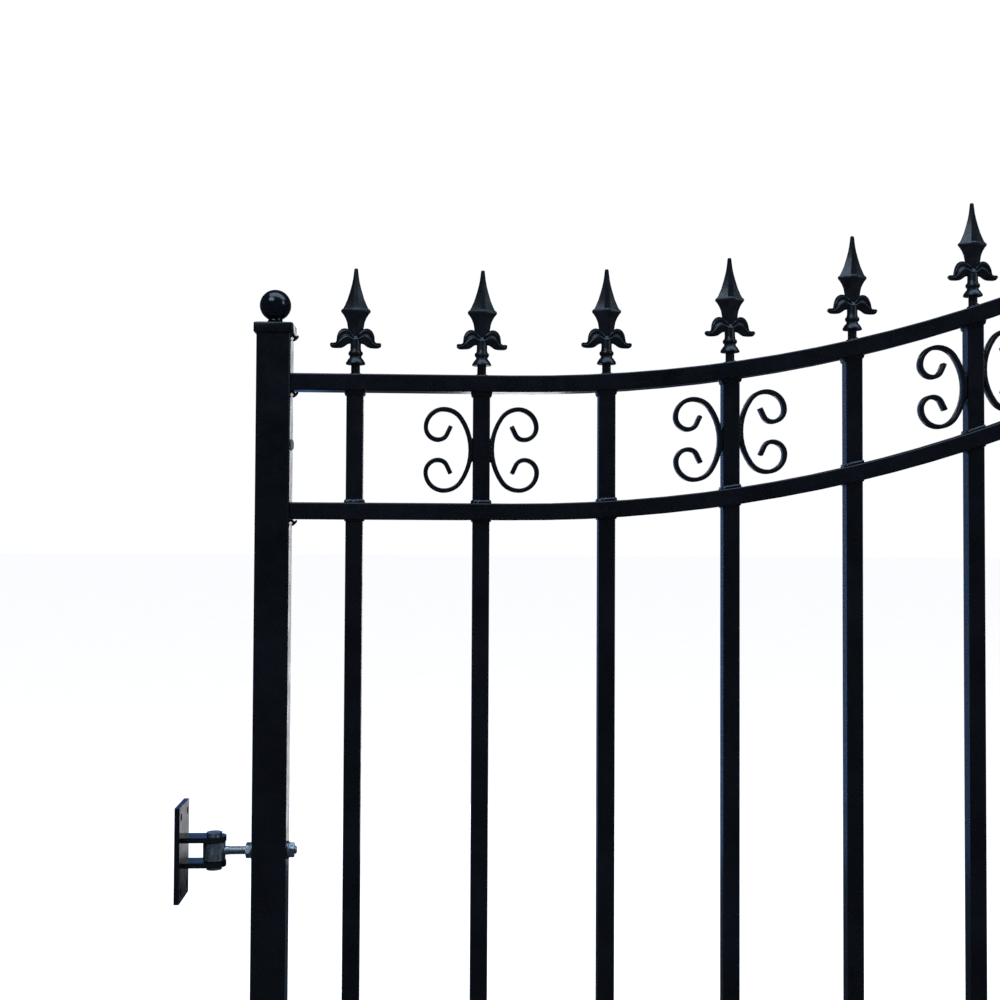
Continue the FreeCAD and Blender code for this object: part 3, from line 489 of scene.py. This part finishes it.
def scroll_line():
    """Centre line of a C scroll from one curl's end to the other's, and its normals."""
    back = (BAR / 2 + BACK_RADIUS, 0)
    shoulder = (back[0] - (BACK_RADIUS - SHOULDER_RADIUS) * math.cos(LEAN),
                (BACK_RADIUS - SHOULDER_RADIUS) * math.sin(LEAN))
    top = (shoulder[0], shoulder[1] + SHOULDER_RADIUS - TOP_RADIUS)
    curl = (top[0] + TOP_RADIUS - CURL_RADIUS, top[1])
    inward = CURL_RADIUS - NIP_RADIUS
    nip = (curl[0] + inward * math.cos(NIP_START), curl[1] - inward * math.sin(NIP_START))
    arcs = [
        (back, BACK_RADIUS, math.pi, math.pi - LEAN, 5),
        (shoulder, SHOULDER_RADIUS, math.pi - LEAN, math.pi / 2, 9),
        (top, TOP_RADIUS, math.pi / 2, 0, 14),
        (curl, CURL_RADIUS, 0, -NIP_START, 14),
        (nip, NIP_RADIUS, -NIP_START, -NIP_END, 8),
    ]
    half = []
    for (cx, cz), radius, begin, end, steps in arcs:
        for i in range(steps):
            a = begin + (end - begin) * i / steps
            half.append((Vector((cx + radius * math.cos(a), 0, cz + radius * math.sin(a))),
                         Vector((math.cos(a), 0, math.sin(a)))))
    # The free end runs out straight.
    (cx, cz), radius, _, end, _ = arcs[-1]
    tip = Vector((cx + radius * math.cos(end), 0, cz + radius * math.sin(end)))
    out = Vector((math.cos(end), 0, math.sin(end)))
    onward = Vector((out.z, 0, -out.x))
    half += [(tip + onward * run, out) for run in (0, FREE_END / 2, FREE_END - 0.8, FREE_END)]
    lower = [(Vector((p.x, 0, -p.z)), Vector((n.x, 0, -n.z))) for p, n in half[1:]]
    return lower[::-1] + half


def bar_section(width, depth, corner):
    """Outline of the flat bar: across the bend, and along Y."""
    points = []
    for quarter, (sx, sy) in enumerate(((1, 1), (-1, 1), (-1, -1), (1, -1))):
        for step in range(4):
            angle = math.pi / 2 * (quarter + step / 3)
            points.append((sx * (width / 2 - corner) + corner * math.cos(angle),
                           sy * (depth / 2 - corner) + corner * math.sin(angle)))
    return points


def make_scrolls():
    line = scroll_line()
    # The cut ends are eased: a smaller section on the last point of each.
    ends = {0: 0.80, len(line) - 1: 0.80}
    master = bmesh.new()
    rings = []
    for i, (point, out) in enumerate(line):
        scale = ends.get(i, 1.0)
        section = bar_section(BAR * scale, BAR_DEPTH * (1 - (1 - scale) * 0.4), BAR_CORNER * scale)
        rings.append([point + out * a + Vector((0, b, 0)) for a, b in section])
    skin(master, rings)
    mesh = to_mesh("scroll_master", master)
    bm = bmesh.new()
    for x in PICKET_X[1::2]:
        for hand in (-1, 1):
            z = scroll_z(x, hand)
            turn = Matrix.Identity(4) if hand > 0 else HALF_TURN
            tilt = Matrix.Rotation(math.radians(rng.uniform(-0.8, 0.8)), 4, "Y")
            stamp(bm, mesh, at(x + hand * PICKET_HALF, 0, z, tilt @ turn))
    bpy.data.meshes.remove(mesh)
    on_both_leaves("scroll_bars", bm, "scroll_black", "scrolls", limit=40)


make_scrolls()


# ---------------------------------------------------------------- caps and balls

# Cap from its lower edge to its crown: half width, corner radius and height.
CAP = [
    (22.4, 2.0, 0.0), (22.9, 2.2, 0.25), (23.0, 2.3, 0.7), (23.0, 2.3, 10.0), (22.8, 2.2, 10.8),
    (22.3, 2.0, 11.4), (21.4, 1.9, 11.8), (20.4, 1.8, 12.0), (12.6, 1.5, 12.05),
]
CAP_HEIGHT = 12 * MM
BALL_RADIUS = 18.5
# Height over the cap at which the ball begins, and the flared foot below it.
BALL_NECK = 6.0
BALL_FOOT = [(12.5, -0.4), (12.5, 0.6), (12.2, 1.2), (11.0, 1.9), (9.6, 2.8), (8.8, 3.9),
             (8.5, 5.0), (8.5, 5.7)]


def make_caps_and_balls():
    caps, balls = bmesh.new(), bmesh.new()
    sink = math.asin(BALL_FOOT[-1][0] / BALL_RADIUS)
    centre = BALL_NECK + BALL_RADIUS * math.cos(sink)
    rows = 26
    ball = [
        (BALL_RADIUS * math.sin(a), centre - BALL_RADIUS * math.cos(a))
        for a in (sink + (math.pi - sink) * i / rows for i in range(rows))
    ]
    for (_, high), x in zip(STILES, STILE_X):
        cap_at = at(x, 0, high.z)
        skin(caps, [[cap_at @ p for p in rounded_square(*ring)] for ring in CAP])
        lathe(balls, BALL_FOOT + ball + [(0.8, centre + BALL_RADIUS - 0.01)],
              at(x, 0, high.z + CAP_HEIGHT), 48)
    on_both_leaves("stile_cap_covers", caps, "cap_black", "stile_caps", limit=40)
    on_both_leaves("ball_knobs", balls, "ball_black", "cap_balls", limit=40)


make_caps_and_balls()


# ---------------------------------------------------------------- welds


def bead(bm, path, outward, wide, tall, loop, ripple=1.5 * MM):
    """A weld bead along a path: an oval section that swells and shrinks with each ripple.

    outward(i) is the direction across the bead at path point i, in the horizontal plane.
    """
    travelled = 0.0
    rings = []
    phase = rng.uniform(0, 6)
    lump = [rng.uniform(0.90, 1.10) for _ in path]
    for i, point in enumerate(path):
        if i:
            travelled += (point - path[i - 1]).length
        size = lump[i] * (1 + 0.10 * math.sin(travelled / ripple * 2 + phase))
        if not loop:
            size *= math.sqrt(max(0.04, 1 - (2 * i / (len(path) - 1) - 1) ** 4))
        across = outward(i)
        rings.append([
            point + across * (wide * size * math.cos(a)) + UP * (tall * size * math.sin(a))
            for a in (math.pi / 4 * k for k in range(8))
        ])
    skin(bm, rings, loop)


def upright_bead(bm, path, wide, deep):
    """A bead that climbs a picket: its section lies flat."""
    rings = []
    phase = rng.uniform(0, 6)
    for i, point in enumerate(path):
        size = (1 + 0.10 * math.sin(i * 1.9 + phase)) * rng.uniform(0.93, 1.07)
        size *= math.sqrt(max(0.05, 1 - (2 * i / (len(path) - 1) - 1) ** 4))
        rings.append([
            point + Vector((wide * size * math.cos(a), deep * size * math.sin(a), 0))
            for a in (math.pi / 4 * k for k in range(8))
        ])
    skin(bm, rings)


def picket_loop(bm, x, height_at, wide, tall):
    """Bead round a picket where it meets a rail's face at height_at(x)."""
    gap, corner, spacing = 0.4, 2.4, 1.6
    outline = rounded_square(PICKET_HALF / MM + gap, corner, 0, steps=3)
    dense = []
    for i, point in enumerate(outline):
        following = outline[(i + 1) % len(outline)]
        steps = max(1, round((following - point).length / spacing))
        dense += [point.lerp(following, s / steps) for s in range(steps)]
    path = []
    for point in dense:
        px, py = x + point.x * MM, point.y * MM
        path.append(Vector((px, py, height_at(px))))
    outs = [p.normalized() for p in dense]
    bead(bm, path, lambda i: outs[i], wide, tall, True)


def face_line(node, x, way):
    """Straight line through a rail's face on both sides of a picket, as a height for any x."""
    span = PICKET_HALF + 4 * MM
    y = PICKET_HALF + 1.5 * MM
    first = surface_z(node, x - span, y, way)
    second = surface_z(node, x + span, y, way)
    return lambda px: first + (second - first) * (px - x + span) / (2 * span)


def finial_ring(bm, x):
    """Bead round the foot of a finial, which follows the rail's slope."""
    radius, count = 5.9 * MM, 26
    rail = face_line("left_top_rail", x, DOWN)
    turns = [2 * math.pi * k / count for k in range(count)]
    ring = [Vector((x + radius * math.cos(a), radius * math.sin(a),
                    rail(x + radius * math.cos(a)))) for a in turns]
    bead(bm, ring, lambda i: Vector((math.cos(turns[i]), math.sin(turns[i]), 0)),
         1.7 * MM, 1.9 * MM, True)


def scroll_beads(bm, x, hand):
    """Upright beads at the front, middle and back of a scroll where it lies on its picket."""
    reach, steps = 14.5 * MM, 20
    stand, inset = 0.7 * MM, 0.6
    z = scroll_z(x, hand)
    for y, deep in ((-1, 1.5), (0, 4.6), (1, 1.5)):
        path = []
        for k in range(steps + 1):
            dz = reach * (2 * k / steps - 1)
            gap = dz * dz / (2 * BACK_RADIUS * MM)
            path.append(Vector((x + hand * (PICKET_HALF + 0.5 * gap + stand),
                                y * (BAR_DEPTH / 2 - inset) * MM, z + dz)))
        upright_bead(bm, path, 2.0 * MM, deep * MM)


def make_welds():
    bm = bmesh.new()
    drop = 0.4 * MM
    for x in PICKET_X:
        under_top = face_line("left_top_rail", x, UP)
        picket_loop(bm, x, lambda px: under_top(px) - drop, 2.3 * MM, 4.6 * MM)
        for node in ("left_second_rail", "left_lower_rail"):
            over, under = face_line(node, x, DOWN), face_line(node, x, UP)
            picket_loop(bm, x, over, 2.0 * MM, 3.8 * MM)
            picket_loop(bm, x, under, 1.6 * MM, 2.0 * MM)
        picket_loop(bm, x, face_line("left_bottom_rail", x, DOWN), 2.1 * MM, 2.4 * MM)
        finial_ring(bm, x)
    for x in PICKET_X[1::2]:
        for hand in (-1, 1):
            scroll_beads(bm, x, hand)
    on_both_leaves("weld_beads", bm, "frame_black", limit=60)


make_welds()


# ---------------------------------------------------------------- screws, nuts and bolts


def add_screw(bm, place):
    """Pan head with a cross recess below Z = 0, and a threaded shank above it."""
    segments = 32
    root, crest, pitch, length = 1.45, 1.95, 1.25, 17.5
    lobes = [2 * math.pi * i / segments for i in range(segments)]

    def star(size, z):
        return [Vector((r * math.cos(a), r * math.sin(a), z))
                for a in lobes for r in [size * (0.62 + 0.38 * math.cos(4 * a))]]

    head = [circle(2.0, 0.6, segments), circle(2.0, 0.0, segments), circle(4.3, 0.0, segments),
            circle(4.5, -0.25, segments), circle(4.5, -0.9, segments), circle(4.2, -1.7, segments),
            circle(3.6, -2.25, segments), circle(2.9, -2.5, segments), star(2.3, -2.5),
            star(2.0, -1.2), star(0.6, -0.9)]
    skin(bm, [[place @ p for p in ring] for ring in head])
    shank = []
    z = -0.2
    while z < length:
        shank += [(root, z), (crest, z + 0.35), (crest, z + 0.5), (root, z + 0.85)]
        z += pitch
    lathe(bm, shank + [(0.4, z + 1.0)], place, 16)


def make_screws():
    """Screws at 45 degrees in the corners under the caps and under the rails' ends."""
    bm = bmesh.new()
    stand = 5.2 * MM * math.sin(math.radians(45))
    # A rail's underside is read this far in from the stile, and off the rail's middle line.
    inset, aside = 13 * MM, 0.012
    corners = []
    for (_, high), x, hand in ((HINGE_STILE, HINGE_STILE[1].x, 1),
                                 (MEETING_STILE, MEETING_STILE[0].x, -1)):
        levels = [high.z]
        for rail in ("top_rail", "second_rail", "lower_rail", "bottom_rail"):
            levels.append(surface_z(f"left_{rail}", x + hand * inset, aside, UP))
        corners += [(x, z, hand) for z in levels]
    for x, z, hand in corners:
        turn = Matrix.Rotation(math.radians(-45 * hand), 4, "Y")
        spin = Matrix.Rotation(rng.uniform(0, math.pi / 2), 4, "Z")
        add_screw(bm, at(x + hand * stand, 0, z - stand, turn @ spin))
    on_both_leaves("corner_screws", bm, "screw_black", "rail_screws", limit=38)


NUT_SEGMENTS = 48
WASHER_HEIGHT = 2.0


def nut_ring(flats, limit, z):
    """Outline of a hexagon nut at height z, cut back to a circle of radius `limit`."""
    points = []
    for i in range(NUT_SEGMENTS):
        a = 2 * math.pi * i / NUT_SEGMENTS
        off = (a + math.pi / 6) % (math.pi / 3) - math.pi / 6
        radius = min(flats / 2 / math.cos(off), limit)
        points.append(Vector((radius * math.cos(a), radius * math.sin(a), z)))
    return points


def add_nut(bm, place, flats=16.0, height=6.0, bore=5.0):
    """Hexagon nut with both faces chamfered, standing on Z = 0."""
    corner = flats / math.sqrt(3)
    rings = [circle(bore - 0.5, 0.3, NUT_SEGMENTS), circle(bore, 0.0, NUT_SEGMENTS)]
    rings += [nut_ring(flats, limit, z) for limit, z in (
        (corner * 0.90, 0.0), (corner * 0.95, 0.35), (corner, 1.0), (corner, height - 1.0),
        (corner * 0.95, height - 0.35), (corner * 0.90, height))]
    rings += [circle(bore, height, NUT_SEGMENTS), circle(bore - 0.5, height - 0.5, NUT_SEGMENTS)]
    skin(bm, [[place @ p for p in ring] for ring in rings])


def add_washer(bm, place, radius=10.5, height=WASHER_HEIGHT, bore=5.2):
    """Flat washer with eased edges, standing on Z = 0."""
    lathe(bm, [(bore, 0.15), (bore + 0.2, 0), (radius - 0.4, 0), (radius, 0.4),
               (radius, height - 0.5), (radius - 0.5, height), (bore + 0.3, height),
               (bore, height - 0.3)], place, 40)


def make_nuts():
    """A washer and a nut on both sides of the hinge stile at each hinge."""
    bm = bmesh.new()
    low, high = HINGE_STILE
    for z in HINGE_Z:
        for x, way in ((low.x, -1), (high.x, 1)):
            lay = Matrix.Rotation(math.radians(90 * way), 4, "Y")
            add_washer(bm, at(x, 0, z, lay))
            spin = Matrix.Rotation(rng.uniform(0, math.pi / 3), 4, "Z")
            add_nut(bm, at(x + way * WASHER_HEIGHT * MM, 0, z, lay @ spin))
    on_both_leaves("bolt_nuts", bm, "zinc_steel", "hinge_nuts", limit=30)


def make_eye_bolts():
    """A turned eye on the hinge pin, and a threaded shank right through the stile."""
    bm = bmesh.new()
    bolt_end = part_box("left_eye_bolts")[1].x
    pin_low, pin_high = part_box("left_hinge_pins")
    pin_x = pin_low.x / 2 + pin_high.x / 2
    bore, radius, half = 6.05, 13.0, 11.0
    root, crest, pitch = 4.35, 4.97, 1.5
    for z in HINGE_Z:
        eye = [(bore, -half + 0.6), (6.6, -half), (12.2, -half), (radius, -half + 0.8),
               (radius, half - 0.8), (12.2, half), (6.6, half), (bore, half - 0.6)]
        rings = [[at(pin_x, 0, z) @ p for p in circle(r, h, 48)] for r, h in eye]
        skin(bm, rings, loop=True)
        start = pin_x + 11.5 * MM
        length = (bolt_end - start) / MM
        profile = [(5.0, 0.0), (5.0, 6.0)]
        at_z = 7.0
        while at_z < length - 2.4:
            profile += [(root, at_z), (crest, at_z + 0.55), (crest, at_z + 0.75),
                        (root, at_z + 1.3)]
            at_z += pitch
        profile += [(4.3, length - 1.0), (3.6, length)]
        lathe(bm, profile, at(start, 0, z, Matrix.Rotation(math.pi / 2, 4, "Y")), 28)
    on_both_leaves("eye_bolt_turnings", bm, "zinc_steel", "eye_bolts", limit=34)


def make_plugs():
    """Square plugs with a lip in the stiles' feet, and a domed one in the hinge stile's vent."""
    bm = bmesh.new()
    vent_radius = 7.0
    # The vent plug is the highest of the plugs, so the top of their box is its upper edge.
    vent_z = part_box("left_tube_plugs")[1].z - vent_radius * MM
    foot = [(18.6, 2.0, -3.0), (19.6, 2.6, -2.75), (20.0, 3.0, -2.2), (20.0, 3.0, -0.3),
            (19.8, 2.9, 0.0), (17.9, 1.2, 0.0), (17.9, 1.2, 15.2), (17.2, 1.0, 16.0)]
    for (low, _), x in zip(STILES, STILE_X):
        skin(bm, [[at(x, 0, low.z) @ p for p in rounded_square(*ring)] for ring in foot])
    dome = [(4.6, -4.0), (5.0, -3.6), (5.0, 0.0), (6.9, 0.0), (vent_radius, 0.25), (6.9, 0.8),
            (6.3, 1.1), (5.9, 1.6), (5.0, 2.4), (3.4, 2.85), (1.2, 3.0)]
    lay = Matrix.Rotation(math.pi / 2, 4, "Y")
    lathe(bm, dome, at(HINGE_STILE[1].x, 0, vent_z, lay), 32)
    on_both_leaves("plug_mouldings", bm, "plug_plastic", "tube_plugs")


make_screws()
make_nuts()
make_eye_bolts()
make_plugs()


# ---------------------------------------------------------------- carried CAD nodes

CARRIED = {
    "frame_black": ["hinge_stile", "meeting_stile", "top_rail", "second_rail", "lower_rail",
                    "bottom_rail"] + PICKET_NAMES,
    "zinc_steel": ["hinge_pins"],
    "hinge_black": ["post_plates"],
}
SINGLE = {
    "latch_guide": "zinc_steel",
    "latch_bolt": "zinc_steel",
    "latch_keeper": "zinc_steel",
    "latch_handle": "hinge_black",
    "drop_rod": "rod_black",
    "drop_rod_guides": "hinge_black",
}


def dress(node, slot):
    """Give a CAD node the material of its slot."""
    mesh = nodes[node].data
    mesh.materials.clear()
    mesh.materials.append(MATERIALS[slot])


for slot, parts in CARRIED.items():
    for part in parts:
        for side in SIDES:
            dress(f"{side}_{part}", slot)
for node, slot in SINGLE.items():
    dress(node, slot)


# ---------------------------------------------------------------- floor, light and world


def make_floor():
    """A wide pale floor that fades into the white world."""
    data = bpy.data.meshes.new("floor")
    size = 80
    data.from_pydata([(-size, -size, 0), (size, -size, 0), (size, size, 0), (-size, size, 0)], [],
                     [(0, 1, 2, 3)])
    floor = bpy.data.objects.new("floor", data)
    bpy.context.scene.collection.objects.link(floor)
    pale = Finish("pale_floor", Specular_IOR_Level=0.0)
    grain = pale.noise(3, detail=5)
    pale.feed("Base Color", pale.blend(pale.span(grain, 0, 1), (0.955, 0.955, 0.96),
                                       (0.975, 0.975, 0.98)))
    pale.feed("Roughness", pale.span(grain, 0.7, 0.9))
    data.materials.append(pale.material)
    floor.visible_glossy = False


def softbox(name, place, target, size, energy, colour):
    light = bpy.data.lights.new(name, "AREA")
    light.shape = "RECTANGLE"
    light.size, light.size_y = size
    light.energy = energy
    light.color = colour
    lamp = bpy.data.objects.new(name, light)
    lamp.visible_camera = False
    lamp.location = place
    lamp.rotation_euler = (Vector(target) - Vector(place)).to_track_quat("-Z", "Y").to_euler()
    bpy.context.scene.collection.objects.link(lamp)


def make_world():
    """White to the eye and on matt surfaces; a dim sky in the paint's reflections."""
    world = bpy.data.worlds.new("studio")
    bpy.context.scene.world = world
    world.use_nodes = True
    tree = world.node_tree
    white = tree.nodes["Background"]
    white.inputs["Color"].default_value = (0.97, 0.98, 1.0, 1)
    white.inputs["Strength"].default_value = 1.03
    dim = tree.nodes.new("ShaderNodeBackground")
    dim.inputs["Color"].default_value = (0.55, 0.70, 1.0, 1)
    dim.inputs["Strength"].default_value = 0.06
    path = tree.nodes.new("ShaderNodeLightPath")
    mix = tree.nodes.new("ShaderNodeMixShader")
    tree.links.new(path.outputs["Is Glossy Ray"], mix.inputs["Fac"])
    tree.links.new(white.outputs["Background"], mix.inputs[1])
    tree.links.new(dim.outputs["Background"], mix.inputs[2])
    tree.links.new(mix.outputs["Shader"], tree.nodes["World Output"].inputs["Surface"])
    world.cycles.sampling_method = "NONE"


make_floor()
make_world()
softbox("key", (-3.4, -3.2, 4.4), (-0.9, 0, 1.2), (2.6, 1.8), 95, (0.62, 0.80, 1.0))
softbox("overhead", (-0.4, -0.6, 4.4), (-0.4, 0, 1.2), (6.0, 2.0), 150, (0.50, 0.72, 1.0))
softbox("side", (-2.85, 4.2, 1.3), (-1.2, 0, 1.2), (1.8, 3.2), 8, (0.15, 0.38, 1.0))
softbox("back", (-1.15, 4.2, 1.4), (-1.7, 0, 1.2), (0.45, 3.2), 9, (0.95, 0.97, 1.0))
softbox("far_side", (4.2, -2.6, 3.2), (0.4, 0, 1.2), (1.6, 2.2), 50, (0.70, 0.85, 1.0))
bpy.context.scene.view_settings.view_transform = "Standard"
